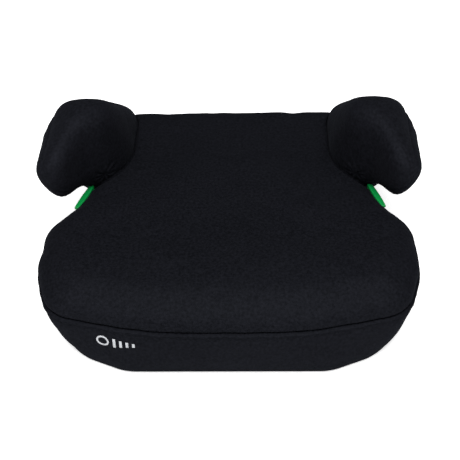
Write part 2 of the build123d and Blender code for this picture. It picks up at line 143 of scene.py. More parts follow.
class SoftField:
    """A 3-D field kept on a grid and blurred, which rounds every edge and corner of its surface."""

    def __init__(self, field, low, high, step, blur):
        self.low = np.array(low, float)
        self.step = step
        axes = [np.arange(a, b + step, step) for a, b in zip(low, high)]
        gx, gy, gz = np.meshgrid(*axes, indexing="ij")
        points = np.column_stack([gx.ravel(), gy.ravel(), gz.ravel()])
        grid = field(points).reshape(gx.shape)
        reach = int(3 * blur / step)
        weights = np.exp(-0.5 * (np.arange(-reach, reach + 1) * step / blur) ** 2)
        weights /= weights.sum()
        for axis in range(3):
            padded = np.pad(grid, [(reach, reach) if a == axis else (0, 0) for a in range(3)], "edge")
            count = grid.shape[axis]
            grid = sum(w * np.take(padded, range(i, i + count), axis) for i, w in enumerate(weights))
        self.grid = grid

    def __call__(self, p):
        u = np.clip((p - self.low) / self.step, 0, np.array(self.grid.shape) - 1.001)
        i = u.astype(int)
        f = u - i
        total = 0
        for a in (0, 1):
            for b in (0, 1):
                for c in (0, 1):
                    share = (np.abs(1 - a - f[:, 0]) * np.abs(1 - b - f[:, 1]) * np.abs(1 - c - f[:, 2]))
                    total = total + share * self.grid[i[:, 0] + a, i[:, 1] + b, i[:, 2] + c]
        return total


def smooth_max(a, b, k):
    """The larger of two fields, rounded over a width k where they meet."""
    h = np.clip(0.5 + 0.5 * (a - b) / k, 0, 1)
    return b * (1 - h) + a * h + k * h * (1 - h)


def smooth_step(x, low, high):
    """0 below low, 1 above high, and a smooth rise between."""
    t = np.clip((x - low) / (high - low), 0, 1)
    return t * t * (3 - 2 * t)


def mirrored(right):
    """An outline's right half, followed by its mirror image."""
    return right + [(-x, y, r) for x, y, r in reversed(right)]


# the seat's outline seen from above, and the armrest's from the side, the front and above
SEAM_OUTLINE = rounded(mirrored([(84, -HALF_D, 330), (195, -162, 46), (HALF_W, -100, 100),
                                 (HALF_W, -35, 52), (169, 32, 120), (172, HALF_D, 30)]))
HEM_OUTLINE = rounded(mirrored([(113, -180.5, 54), (187, -147, 66), (186, -92, 20), (185, -72, 30),
                                (155, 50, 40), (160, 182, 28)]))
PLAN_LOW, PLAN_HIGH = (-4.0, -210.0), (240.0, 210.0)
SEAM_FIELD = Raster(SEAM_OUTLINE, PLAN_LOW, PLAN_HIGH)
HEM_FIELD = Raster(HEM_OUTLINE, PLAN_LOW, PLAN_HIGH)
ROOT_FIELD = Raster(rounded([(124, 85, 50), (148, 46, 25), (406, 20, 0), (406, 400, 0), (124, 400, 0)]),
                    PLAN_LOW, PLAN_HIGH)
ARM_SIDE = Raster(rounded([(50, 40, 0), (189, 40, 0), (189, 103, 18), (68, ARM_TOP, 36), (-34, ARM_TOP, 54),
                           (-36, 98, 4), (44, 102, 8)]), (-50, 30), (210, 220))
ARM_FRONT = Raster(rounded([(124, 40, 0), (149, 40, 0), (221, 150, 14), (216, 162, 40), (180, ARM_TOP, 30),
                            (142.5, ARM_TOP, 25), (125.5, 98, 60)]), (100, 30), (240, 220))
ARM_PLAN = Raster(rounded([(190, -24, 4), (221, -24, 4), (228, 0, 20), (228, 44, 70), (172, 190, 25),
                           (124, 190, 4), (123, 88, 60), (150, 44, 30), (174, 25, 30)]), (100, -50), (240, 210))
ARM_PANEL = Raster(rounded([(90, 30, 0), (139, 40, 0), (172, 105, 20), (190, 126, 14), (207, 141, 14),
                            (211, 160, 20), (203, 260, 0), (90, 260, 0)]), (80, 20), (250, 270))
ARM_BLEND = 5.0                            # how far an armrest's sides run into each other
ARM_GRID, ARM_BLUR = 4.0, 12.0             # the armrest's softened copy: grid step and blur
ARM_GROW = 3.9                             # what the blur takes off its surface
ARM_LOW, ARM_HIGH = (90, -66, 42), (256, 224, 228)
ARM_CUT = (4, 2.0)                         # the armrest ends this far below the seam, with this rounding
NOTCH = (150, 44, 108)                     # the inner corner of an armrest's free end
ROOT_PINCH = 1.6                           # how deep the padding is drawn in where an armrest stands

SKIRT_BULGE = 2.2                          # how far the skirt stands out halfway up
SKIRT_MARGIN = 3                           # the seam's outline starts this far below the seam
HEM_BLEND = 3.0
ROLL_Z, ROLL_HEIGHT, ROLL_OUT = 83, 9, 1.2  # the roll above the seam: middle, half height, reach
TUCK_TOP, TUCK_HEIGHT = 84, 13             # the tuck between roll and seam
TUCK_BELOW, ROLL_TUCK = 12, 0.5            # how far it reaches below the seam, and its depth
CROWN_Y, CROWN_LENGTH, ROLL_RISE = -118, 56, 4.0   # the seat's crown: middle, half length, height
FRONT_SPAN, SIDE_SPAN = (90, 180), (-10, 60)       # -y where the front and the roll set in
BACK_SPAN = (70, 170)                      # y where the edge tightens towards the back
EDGE_ACROSS, EDGE_ACROSS_BACK, EDGE_ACROSS_FRONT = 32, 22, 20   # the edge's rounding, seen from above
EDGE_DOWN, EDGE_DOWN_BACK = 31, 21         # and its rounding downwards
POCKET_BLEND, POCKET_GAP = 3.0, 0.3        # the hollow in the seat where an armrest stands
POCKET_INSET = 7.0


def body_field(p):
    """The padded seat and skirt, before the armrests' corners are cut out. Negative inside."""
    x, y, z = np.abs(p[:, 0]), p[:, 1], p[:, 2]
    t = np.clip((z - HEM_Z) / (SEAM_Z - SKIRT_MARGIN - HEM_Z), 0, 1)
    d = HEM_FIELD(x, y) * (1 - t) + SEAM_FIELD(x, y) * t - SKIRT_BULGE * np.sin(np.pi * t)
    front = smooth_step(-y, *FRONT_SPAN)
    around = smooth_step(-y, *SIDE_SPAN)
    above = np.clip((TUCK_TOP - z) / TUCK_HEIGHT, 0, 1) ** 2
    below = np.exp(np.minimum(z - SEAM_Z, 0) / TUCK_BELOW)
    d = d - ROLL_OUT * around * np.exp(-((z - ROLL_Z) / ROLL_HEIGHT) ** 2)
    d = d + ROLL_TUCK * around * np.where(z > SEAM_Z, above, below)
    top = SEAT_TOP + ROLL_RISE * np.exp(-((y - CROWN_Y) / CROWN_LENGTH) ** 2)
    back = smooth_step(y, *BACK_SPAN)
    across = EDGE_ACROSS - EDGE_ACROSS_BACK * back + EDGE_ACROSS_FRONT * front
    down = EDGE_DOWN - EDGE_DOWN_BACK * back
    qx = (d + across) / across
    qz = (z - (top - down)) / down
    corner = (np.sqrt(np.maximum(qx, 0) ** 2 + np.maximum(qz, 0) ** 2) - 1) * np.minimum(across, down)
    f = np.where((qx > 0) & (qz > 0), corner, np.maximum(d, z - top))
    return smooth_max(f, HEM_Z - z, HEM_BLEND)


def hard_arm_field(p):
    """One armrest's padded outside, drawn on the right, with tight edges and no bottom."""
    x, y, z = p[:, 0], p[:, 1], p[:, 2]
    f = smooth_max(ARM_FRONT(x, z), ARM_PLAN(x, y), ARM_BLEND)
    return smooth_max(f, ARM_SIDE(y, z), ARM_BLEND)


ARM_SOFT = SoftField(hard_arm_field, ARM_LOW, ARM_HIGH, ARM_GRID, ARM_BLUR)


def arm_field(p):
    """One armrest's padded outside with soft edges, cut off just under the seam."""
    drop, blend = ARM_CUT
    return smooth_max(ARM_SOFT(p) - ARM_GROW, (SEAM_Z - drop) - p[:, 2], blend)


def right_half(p):
    """Points moved to the right half, where the armrest's fields are drawn."""
    return np.column_stack([np.abs(p[:, 0]), p[:, 1], p[:, 2]])


def cut_body_field(p):
    """The seat and skirt, pressed in where the armrests stand."""
    f = body_field(p)
    q = right_half(p)
    root = np.maximum(ROOT_FIELD(q[:, 0], q[:, 1]) + POCKET_INSET, (SEAM_Z - SKIRT_MARGIN) - q[:, 2])
    pocket = smooth_max(-arm_field(q) + POCKET_GAP, -root, POCKET_BLEND)
    return smooth_max(f, pocket, POCKET_BLEND)


# ------------------------------------------------------------------ surfaces from fields
def grid_field(field, xs, ys, zs):
    """The field's values on a grid of lines."""
    values = np.empty((len(xs), len(ys), len(zs)), np.float32)
    gy, gz = np.meshgrid(ys, zs, indexing="ij")
    for i, x in enumerate(xs):
        p = np.column_stack([np.full(gy.size, x), gy.ravel(), gz.ravel()])
        values[i] = field(p).reshape(gy.shape)
    return values


def surface_net(field, xs, ys, zs):
    """A closed quad mesh where the field is zero: one vertex per crossed grid cell."""
    f = grid_field(field, xs, ys, zs)
    s = f < 0
    cells = np.zeros(tuple(n - 1 for n in f.shape), np.int8)
    for i in (0, 1):
        for j in (0, 1):
            for k in (0, 1):
                cells += s[i:i + cells.shape[0], j:j + cells.shape[1], k:k + cells.shape[2]]
    active = (cells > 0) & (cells < 8)
    index = np.full(cells.shape, -1, np.int64)
    index[active] = np.arange(active.sum())
    total = np.zeros(cells.shape + (3,), np.float32)
    count = np.zeros(cells.shape, np.float32)
    axes = [np.asarray(a, np.float32) for a in (xs, ys, zs)]
    quads = []
    for axis in range(3):
        o1, o2 = [(1, 2), (2, 0), (0, 1)][axis]
        lo = [slice(None)] * 3
        hi = [slice(None)] * 3
        lo[axis], hi[axis] = slice(None, -1), slice(1, None)
        fa, fb = f[tuple(lo)], f[tuple(hi)]
        sa = s[tuple(lo)]
        cross = sa != s[tuple(hi)]
        ei = np.argwhere(cross)
        va, vb = fa[cross], fb[cross]
        t = va / (va - vb)
        pos = np.stack([axes[a][ei[:, a]] for a in range(3)], 1)
        pos[:, axis] += t * (axes[axis][ei[:, axis] + 1] - axes[axis][ei[:, axis]])
        ring = []
        for d1, d2 in ((-1, -1), (0, -1), (0, 0), (-1, 0)):
            c = ei.copy()
            c[:, o1] += d1
            c[:, o2] += d2
            ok = np.all((c >= 0) & (c < cells.shape), axis=1)
            np.add.at(total, tuple(c[ok].T), pos[ok])
            np.add.at(count, tuple(c[ok].T), 1)
            ring.append((c, ok))
        good = np.all([ok for _, ok in ring], axis=0)
        ids = np.stack([index[tuple(c[good].T)] for c, _ in ring], 1)
        flip = ~sa[cross][good]
        ids[flip] = ids[flip][:, ::-1]
        quads.append(ids)
    verts = total[active] / count[active][:, None]
    return verts.astype(float), np.concatenate(quads)


def gradient(field, p, h=0.4):
    """The field's slope at points p, from differences over h on either side."""
    g = np.empty_like(p)
    for a in range(3):
        step = np.zeros(3)
        step[a] = h
        g[:, a] = (field(p + step) - field(p - step)) / (2 * h)
    return g


def project(field, p, rounds=3, limit=2.0):
    """Moves points onto the surface along the field's slope."""
    for _ in range(rounds):
        f = field(p)
        g = gradient(field, p)
        g2 = np.maximum((g ** 2).sum(1), 1e-3)
        move = -(f / g2)[:, None] * g
        size = np.linalg.norm(move, axis=1)
        move *= np.minimum(1, limit / np.maximum(size, 1e-9))[:, None]
        p = p + move
    return p


def quad_edges(quads):
    """Each edge of the quads once, as a pair of vertex numbers."""
    e = np.concatenate([quads[:, [0, 1]], quads[:, [1, 2]], quads[:, [2, 3]], quads[:, [3, 0]]])
    e.sort(axis=1)
    return np.unique(e, axis=0)


def average(p, edges, values=None):
    """Each vertex's neighbours' mean."""
    v = p if values is None else values
    n = len(p)
    out = np.zeros((n,) + v.shape[1:])
    deg = np.bincount(edges.ravel(), minlength=n)
    for a, b in ((0, 1), (1, 0)):
        if v.ndim == 1:
            out += np.bincount(edges[:, a], weights=v[edges[:, b]], minlength=n)
        else:
            for c in range(v.shape[1]):
                out[:, c] += np.bincount(edges[:, a], weights=v[edges[:, b], c], minlength=n)
    return out / (deg if v.ndim == 1 else deg[:, None])


def relax(field, p, quads, rounds=4, ring=None, ring_z=None):
    """Evens out the mesh and keeps it on the surface. A ring of vertices can be held at one height."""
    edges = quad_edges(quads)
    for _ in range(rounds):
        p = p + 0.6 * (average(p, edges) - p)
        if ring is not None:
            p[ring, 2] = ring_z
        p = project(field, p, 1)
        if ring is not None:
            p[ring, 2] = ring_z
    return project(field, p, 1) if ring is None else p


def levels(low, high, step, seam=None, fine=0.8, spread=6.0):
    """Grid lines from low to high. Near a seam they close up, and the seam lies midway between two of them."""
    if seam is None:
        return np.arange(low, high + step, step)
    up = [seam + fine / 2]
    while up[-1] < high:
        gap = fine + (step - fine) * min(1, max(0, (up[-1] - seam - 2 * fine) / spread))
        up.append(up[-1] + gap)
    down = [seam - fine / 2]
    while down[-1] > low:
        gap = fine + (step - fine) * min(1, max(0, (seam - down[-1] - 2 * fine) / spread))
        down.append(down[-1] - gap)
    return np.array(down[::-1] + up)


def shade_smooth(mesh):
    """Marks every face of a mesh as smooth."""
    mesh.polygons.foreach_set("use_smooth", [True] * len(mesh.polygons))


def mesh_object(name, verts_mm, faces):
    """A new smooth-shaded object from points in mm."""
    mesh = bpy.data.meshes.new(name)
    points = [tuple(v) for v in np.asarray(verts_mm) * MM]
    mesh.from_pydata(points, [], [tuple(int(i) for i in f) for f in faces])
    mesh.update()
    shade_smooth(mesh)
    obj = bpy.data.objects.new(name, mesh)
    bpy.context.scene.collection.objects.link(obj)
    return obj


def vertex_normals(p, quads):
    """Unit normals from the quads' diagonals."""
    a, b, c, d = (p[quads[:, i]] for i in range(4))
    n = np.cross(c - a, d - b)
    out = np.zeros_like(p)
    for i in range(4):
        for k in range(3):
            out[:, k] += np.bincount(quads[:, i], weights=n[:, k], minlength=len(p))
    return out / np.maximum(np.linalg.norm(out, axis=1), 1e-9)[:, None]


def apply_modifiers(obj):
    """Turns an object's modifiers into plain mesh."""
    bpy.context.view_layer.update()
    dg = bpy.context.evaluated_depsgraph_get()
    mesh = bpy.data.meshes.new_from_object(obj.evaluated_get(dg), depsgraph=dg)
    old = obj.data
    obj.modifiers.clear()
    obj.data = mesh
    bpy.data.meshes.remove(old)
    shade_smooth(mesh)


# ------------------------------------------------------------------ cloth: how far the stuffing pushes
CLOTH_FRAMES = 20
CLOTH_SETTINGS = {
    "quality": 6, "mass": 0.001, "tension_stiffness": 2, "compression_stiffness": 2, "shear_stiffness": 1,
    "bending_stiffness": 0.15, "tension_damping": 1, "compression_damping": 1, "shear_damping": 1,
    "air_damping": 1, "shrink_min": -0.035, "shrink_max": -0.035, "use_pressure": True,
    "uniform_pressure_force": 50.0,
}
CLOTH_CAP = 4.0                            # the cloth moves a point no further than this
BODY_COARSE, ARM_COARSE = 6.0, 5.0         # grid steps of the copies that are simulated
CARRY_NEAR, CARRY_REACH = 7, 9.0           # points and distance over which the copy's move is read back


def inflate(field, low, high, step, pinned, name):
    """Runs a cloth simulation on a coarse copy of a pad, sewn down where pinned() says, and returns the copy's
    points and how far each one moved, in mm."""
    axes = [levels(low[a], high[a], step) for a in range(3)]
    p, quads = surface_net(field, *axes)
    p = relax(field, p, quads, 4)
    obj = mesh_object(name, p, quads)
    group = obj.vertex_groups.new(name="sewn")
    hold = pinned(p)
    for w in (0.25, 0.5, 0.75, 1.0):
        ids = np.nonzero((hold > w - 0.25) & (hold <= w) if w < 1 else hold > 0.75)[0]
        if len(ids):
            group.add([int(i) for i in ids], w, "REPLACE")
    cloth = obj.modifiers.new("cloth", "CLOTH")
    for key, value in CLOTH_SETTINGS.items():
        setattr(cloth.settings, key, value)
    cloth.settings.vertex_group_mass = "sewn"
    cloth.settings.effector_weights.gravity = 0
    cloth.collision_settings.use_collision = False
    cloth.point_cache.frame_start, cloth.point_cache.frame_end = 1, CLOTH_FRAMES
    scene = bpy.context.scene
    for f in range(1, CLOTH_FRAMES + 1):
        scene.frame_set(f)
    dg = bpy.context.evaluated_depsgraph_get()
    done = obj.evaluated_get(dg).data
    after = np.empty(len(done.vertices) * 3)
    done.vertices.foreach_get("co", after)
    move = after.reshape(-1, 3) / MM - p
    scene.frame_set(1)
    mesh = obj.data
    bpy.data.objects.remove(obj)
    bpy.data.meshes.remove(mesh)
    size = np.linalg.norm(move, axis=1)
    move *= (CLOTH_CAP * np.tanh(size / CLOTH_CAP) / np.maximum(size, 1e-9))[:, None]
    edges = quad_edges(quads)
    for _ in range(2):
        move = 0.5 * move + 0.5 * average(p, edges, move)
    return p, move


def carry(p, source, move):
    """The displacement at each point, as a weighted mean of the coarse copy's nearby points."""
    tree = kdtree.KDTree(len(source))
    for i, v in enumerate(source):
        tree.insert(Vector(v), i)
    tree.balance()
    out = np.zeros_like(p)
    for i, v in enumerate(p):
        near = tree.find_n(Vector(v), CARRY_NEAR)
        w = np.array([math.exp(-(d / CARRY_REACH) ** 2 * 2.0) for _, _, d in near]) + 1e-12
        out[i] = (w[:, None] * move[[j for _, j, _ in near]]).sum(0) / w.sum()
    return out


# ------------------------------------------------------------------ seat, skirt and armrest meshes
BODY_STEP = 2.2
ARM_STEP = 1.4
MARGIN = 5                                 # room around a pad for its grid
SEAM_ROW = 0.9                             # height of the grid's row at the seam
GROOVE_ABOVE = (2.0, 1.5, 1.2, 6.0)        # seam_groove's depth, width, pinch and spread
GROOVE_BELOW = (2.4, 0.8, 0.5, 4.0)
GROOVE_ARM = (1.0, 1.0, 0.7, 5.0)
RIDGE_HEIGHT, RIDGE_DROP, RIDGE_WIDTH = 2.0, 2.6, 1.2   # the skirt's edge just below the seam
GATHER = 0.3                               # height of the gathers along a seam
GATHER_BODY_REACH, GATHER_ARM_REACH = 6, 7
GATHER_TURN = 200                          # mm of seam for each radian around the seat
BODY_SEEDS, ARM_SEEDS = (3, 5), (8, 11)    # seeds of the gathers and of the slack
BODY_SLACK, ARM_SLACK = 0.35, 0.3
FOLDS, FOLD_DEPTH, FOLD_AT, FOLD_WIDTH = 9, 0.8, 9, 8   # small folds that fan out from the notch


def seam_groove(distance, depth, width, pinch, spread):
    """How deep a sewn seam pulls the surface in at a distance from it."""
    return depth * np.exp(-(distance / width) ** 2) + pinch * np.exp(-np.abs(distance) / spread)


def ripple(along, seed):
    """Uneven gathers along a seam, between about -1 and 1."""
    local = np.random.default_rng(seed)
    total = 0
    for length in (7.3, 11.9, 19.0, 31.0):
        total = total + np.sin(along / length * 2 * np.pi + local.uniform(0, 6.28)
                               + 1.5 * np.sin(along / (length * 4.3) + local.uniform(0, 6.28)))
    return total / 3.0


def slack(p, seed, amount):
    """Broad soft unevenness of stuffed fabric, in mm."""
    local = np.random.default_rng(seed)
    total = 0
    for _ in range(10):
        direction = local.normal(size=3)
        direction /= np.linalg.norm(direction)
        total = total + np.sin(p @ direction / local.uniform(26, 60) * 2 * np.pi + local.uniform(0, 6.28))
    return total * amount / 3.2


def build_body():
    """The seat and skirt in one mesh, and which of its faces belong to the seat."""
    zs = levels(HEM_Z - 4, SEAT_TOP + 10, BODY_STEP, SEAM_Z, SEAM_ROW)
    xs = levels(-HALF_W - MARGIN, HALF_W + MARGIN, BODY_STEP)
    ys = levels(-HALF_D - MARGIN, HALF_D + MARGIN, BODY_STEP)
    p, quads = surface_net(cut_body_field, xs, ys, zs)
    root = ROOT_FIELD(np.abs(p[:, 0]), p[:, 1])
    ring = np.nonzero((np.abs(p[:, 2] - SEAM_Z) < SEAM_ROW / 2) & (root > 1.0))[0]
    p = relax(cut_body_field, p, quads, 4, ring, SEAM_Z)
    root = ROOT_FIELD(np.abs(p[:, 0]), p[:, 1])
    normal = vertex_normals(p, quads)
    def pinned(q):
        r = ROOT_FIELD(np.abs(q[:, 0]), q[:, 1])
        hold = np.exp(-((q[:, 2] - SEAM_Z) / 5.0) ** 2)
        hold = np.maximum(hold, 1 - smooth_step(q[:, 2], HEM_Z + 3, HEM_Z + 14))
        return np.maximum(hold, 1 - smooth_step(r, 2, 12))
    src, move = inflate(cut_body_field, (-HALF_W - 6, -HALF_D - 6, HEM_Z - 6),
                        (HALF_W + 6, HALF_D + 6, SEAT_TOP + 10), BODY_COARSE, pinned, "sim_body")
    p = p + carry(p, src, move)
    dz = p[:, 2] - SEAM_Z
    on_side = smooth_step(root, -2, 4)
    pull = np.where(dz > 0, seam_groove(dz, *GROOVE_ABOVE), seam_groove(dz, *GROOVE_BELOW))
    pull = pull - RIDGE_HEIGHT * np.exp(-((dz + RIDGE_DROP) / RIDGE_WIDTH) ** 2)
    around = np.arctan2(p[:, 1], p[:, 0]) * GATHER_TURN
    fade = np.exp(-np.abs(dz) / GATHER_BODY_REACH)
    pull = pull + GATHER * ripple(around, BODY_SEEDS[0]) * fade * smooth_step(np.abs(dz), 0, 3)
    loose = slack(p, BODY_SEEDS[1], BODY_SLACK)
    pull = pull * on_side + loose * smooth_step(p[:, 2], HEM_Z + 2, HEM_Z + 10)
    to_arm = arm_field(right_half(p))
    pull = pull + ROOT_PINCH * np.exp(-(to_arm / 2.2) ** 2) * smooth_step(p[:, 2], SEAM_Z + 5, SEAM_Z + 16)
    p = p - normal * pull[:, None]
    top_faces = p[quads][:, :, 2].mean(1) > SEAM_Z
    return p, quads, top_faces


def compact(p, quads):
    """The mesh without the points that no quad uses."""
    used, inverse = np.unique(quads, return_inverse=True)
    return p[used], inverse.reshape(quads.shape)


def build_arm():
    """The right armrest's pad in one closed mesh."""
    low = np.array([118, -28, SEAM_Z - 8])
    high = np.array([ARM_OUT + MARGIN, 194, ARM_TOP + MARGIN])
    p, quads = surface_net(arm_field, *[levels(low[a], high[a], ARM_STEP) for a in range(3)])
    p = relax(arm_field, p, quads, 4)
    panel = ARM_PANEL(p[:, 0], p[:, 2])
    normal = vertex_normals(p, quads)
    def pinned(q):
        seam = np.exp(-(ARM_PANEL(q[:, 0], q[:, 2]) / 4.0) ** 2)
        return np.maximum(seam, 1 - smooth_step(q[:, 2], SEAM_Z - 2, SEAM_Z + 12))
    src, move = inflate(arm_field, low - 2, high + 2, ARM_COARSE, pinned, "sim_arm")
    p = p + carry(p, src, move)
    gather = GATHER * ripple(p[:, 1] + p[:, 2], ARM_SEEDS[0]) * np.exp(-np.abs(panel) / GATHER_ARM_REACH)
    pull = seam_groove(panel, *GROOVE_ARM) + gather + slack(p, ARM_SEEDS[1], ARM_SLACK)
    to_seat = body_field(p)
    pull = pull + ROOT_PINCH * np.exp(-(to_seat / 2.6) ** 2) * smooth_step(p[:, 2], SEAM_Z + 8, SEAM_Z + 18)
    away = p - np.array(NOTCH)
    reach = np.linalg.norm(away, axis=1)
    turn = np.arctan2(away[:, 2], away[:, 0])
    pull = pull + FOLD_DEPTH * np.sin(FOLDS * turn + 1) * np.exp(-((reach - FOLD_AT) / FOLD_WIDTH) ** 2)
    p = p - normal * pull[:, None]
    return p, quads


# ------------------------------------------------------------------ materials
def new_material(name):
    """A node material with an empty tree."""
    m = bpy.data.materials.new(name)
    m.use_nodes = True
    m.node_tree.nodes.clear()
    return m, m.node_tree


class Graph:
    """Small helper for building node trees."""

    def __init__(self, tree):
        self.tree = tree

    def add(self, kind, **values):
        node = self.tree.nodes.new(kind)
        for key, value in values.items():
            if key in node.inputs:
                node.inputs[key].default_value = value
            else:
                setattr(node, key, value)
        return node

    def link(self, a, b):
        self.tree.links.new(a, b)

    def math(self, op, a, b=None, clamp=False):
        node = self.tree.nodes.new("ShaderNodeMath")
        node.operation = op
        node.use_clamp = clamp
        for i, v in enumerate((a, b)):
            if v is None:
                continue
            if isinstance(v, (int, float)):
                node.inputs[i].default_value = v
            else:
                self.link(v, node.inputs[i])
        return node.outputs[0]

    def noise(self, vector, scale, detail, rough):
        node = self.add("ShaderNodeTexNoise")
        node.inputs["Scale"].default_value = scale
        node.inputs["Detail"].default_value = detail
        node.inputs["Roughness"].default_value = rough
        self.link(vector, node.inputs["Vector"])
        return node.outputs["Fac"]


NAP_LEVEL, NAP_TINT, NAP_ROUGHNESS = 0.0045, (0.86, 0.92, 1.1), 0.7   # faint gloss of the fibres
SHEEN_WEIGHT, SHEEN_ROUGHNESS, SHEEN_TINT = 0.012, 0.38, (0.78, 0.84, 1.0, 1)
STITCH_TALL, STITCH_SLANT = 1.25, 1.3      # a stitch's height and the slope of its legs
WAVE_SHARE, RIB_SHARE = 0.35, 0.65
FACE_SHARP = 6.0                           # how fast the knit turns from one side's direction to the next
FIBRE, FLECK, CLOUD = (1400.0, 3.0, 0.7), (330.0, 2.0, 0.6), (9.0, 3.0, 0.55)   # scale, detail, roughness
TONE_WEAVE, TONE_FLECK, TONE_FIBRE, TONE_CLOUD, TONE_BASE = 0.34, 1.5, 0.45, 0.35, 0.85
GRAIN_SHADE = (0.82, 1.15)                 # plastic's darkest and lightest tone


def mix_colours(g, bsdf, factor, first, second):
    """A base colour that runs from the first colour to the second."""
    mix = g.add("ShaderNodeMix", data_type="RGBA")
    mix.inputs["A"].default_value = (*first, 1)
    mix.inputs["B"].default_value = (*second, 1)
    g.link(factor, mix.inputs["Factor"])
    g.link(mix.outputs["Result"], bsdf.inputs["Base Color"])


def add_bump(g, bsdf, height, strength, distance):
    """Fine relief from a height, with its depth in metres."""
    relief = g.add("ShaderNodeBump")
    relief.inputs["Strength"].default_value = strength
    relief.inputs["Distance"].default_value = distance
    g.link(height, relief.inputs["Height"])
    g.link(relief.outputs[0], bsdf.inputs["Normal"])


def plain_material(name):
    """A material with one Principled shader: its graph, the shader and the object's coordinates."""
    m, tree = new_material(name)
    g = Graph(tree)
    out = g.add("ShaderNodeOutputMaterial")
    bsdf = g.add("ShaderNodeBsdfPrincipled")
    g.link(bsdf.outputs[0], out.inputs[0])
    return m, g, bsdf, g.add("ShaderNodeTexCoord").outputs["Object"]


def fabric_material(name, base, lift, knit=1.25, bump=0.35):
    """Fine weft knit: chevron columns whose direction follows each face, with fibre noise and sheen."""
    m, tree = new_material(name)
    g = Graph(tree)
    out = g.add("ShaderNodeOutputMaterial")
    bsdf = g.add("ShaderNodeBsdfPrincipled")
    nap = g.add("ShaderNodeBsdfGlossy")
    nap.inputs["Color"].default_value = (*[NAP_LEVEL * c for c in NAP_TINT], 1)
    nap.inputs["Roughness"].default_value = NAP_ROUGHNESS
    both = g.add("ShaderNodeAddShader")
    g.link(bsdf.outputs[0], both.inputs[0])
    g.link(nap.outputs[0], both.inputs[1])
    g.link(both.outputs[0], out.inputs[0])
    coords = g.add("ShaderNodeTexCoord").outputs["Object"]
    geo = g.add("ShaderNodeNewGeometry")
    split = g.add("ShaderNodeSeparateXYZ")
    g.link(coords, split.inputs[0])
    nsplit = g.add("ShaderNodeSeparateXYZ")
    g.link(geo.outputs["Normal"], nsplit.inputs[0])
    x, y, z = (split.outputs[i] for i in range(3))
    per = 1 / MM / knit

    def stitches(u, v):
        """The knit's height over one side: columns of slanted stitches between ribs."""
        cu = g.math("FRACT", g.math("MULTIPLY", u, per))
        vee = g.math("ABSOLUTE", g.math("SUBTRACT", cu, 0.5))
        along = g.math("MULTIPLY", v, per * STITCH_TALL)
        phase = g.math("ADD", along, g.math("MULTIPLY", vee, STITCH_SLANT))
        wave = g.math("SINE", g.math("MULTIPLY", phase, 2 * math.pi))
        rib = g.math("SINE", g.math("MULTIPLY", cu, math.pi))
        return g.math("ADD", g.math("MULTIPLY", wave, WAVE_SHARE), g.math("MULTIPLY", rib, RIB_SHARE))

    faces = [stitches(x, y), stitches(x, z), stitches(y, z)]
    weights = [g.math("POWER", g.math("ABSOLUTE", nsplit.outputs[i]), FACE_SHARP) for i in (2, 1, 0)]
    total = g.math("ADD", g.math("ADD", weights[0], weights[1]), weights[2])
    summed = None
    for f, w in zip(faces, weights):
        part = g.math("MULTIPLY", f, w)
        summed = part if summed is None else g.math("ADD", summed, part)
    weave = g.math("DIVIDE", summed, total)
    fibre = g.noise(coords, *FIBRE)
    fleck = g.noise(coords, *FLECK)
    cloud = g.noise(coords, *CLOUD)
    tone = g.math("ADD", g.math("MULTIPLY", weave, TONE_WEAVE), g.math("MULTIPLY", fleck, TONE_FLECK))
    tone = g.math("ADD", tone, g.math("MULTIPLY", fibre, TONE_FIBRE))
    tone = g.math("ADD", tone, g.math("MULTIPLY", cloud, TONE_CLOUD))
    tone = g.math("SUBTRACT", tone, TONE_BASE, clamp=True)
    mix_colours(g, bsdf, tone, base, lift)
    g.link(g.math("ADD", g.math("MULTIPLY", fleck, 0.2), 0.5), bsdf.inputs["Roughness"])
    bsdf.inputs["Specular IOR Level"].default_value = 0.0
    bsdf.inputs["Sheen Weight"].default_value = SHEEN_WEIGHT
    bsdf.inputs["Sheen Roughness"].default_value = SHEEN_ROUGHNESS
    bsdf.inputs["Sheen Tint"].default_value = SHEEN_TINT
    add_bump(g, bsdf, g.math("ADD", weave, g.math("MULTIPLY", fibre, 0.8)), bump, 0.0004)
    return m


def plastic_material(name, base, rough=0.45, grain=0.15, spec=0.5, grain_scale=1600.0):
    """Moulded plastic with a fine spark-eroded grain and slight handling marks."""
    m, g, bsdf, coords = plain_material(name)
    fine = g.noise(coords, grain_scale, 2.0, 0.6)
    broad = g.noise(coords, 60.0, 3.0, 0.6)
    dark, light = GRAIN_SHADE
    mix_colours(g, bsdf, broad, [c * dark for c in base], [min(1, c * light) for c in base])
    g.link(g.math("ADD", g.math("MULTIPLY", broad, 0.16), rough - 0.08), bsdf.inputs["Roughness"])
    bsdf.inputs["Specular IOR Level"].default_value = spec
    add_bump(g, bsdf, fine, grain, 0.0003)
    return m


def metal_material(name):
    """Plated steel with a slightly cloudy polish."""
    m, g, bsdf, coords = plain_material(name)
    broad = g.noise(coords, 300.0, 3.0, 0.6)
    mix_colours(g, bsdf, broad, (0.42, 0.42, 0.43), (0.62, 0.61, 0.58))
    bsdf.inputs["Metallic"].default_value = 0.9
    g.link(g.math("ADD", g.math("MULTIPLY", broad, 0.25), 0.22), bsdf.inputs["Roughness"])
    return m


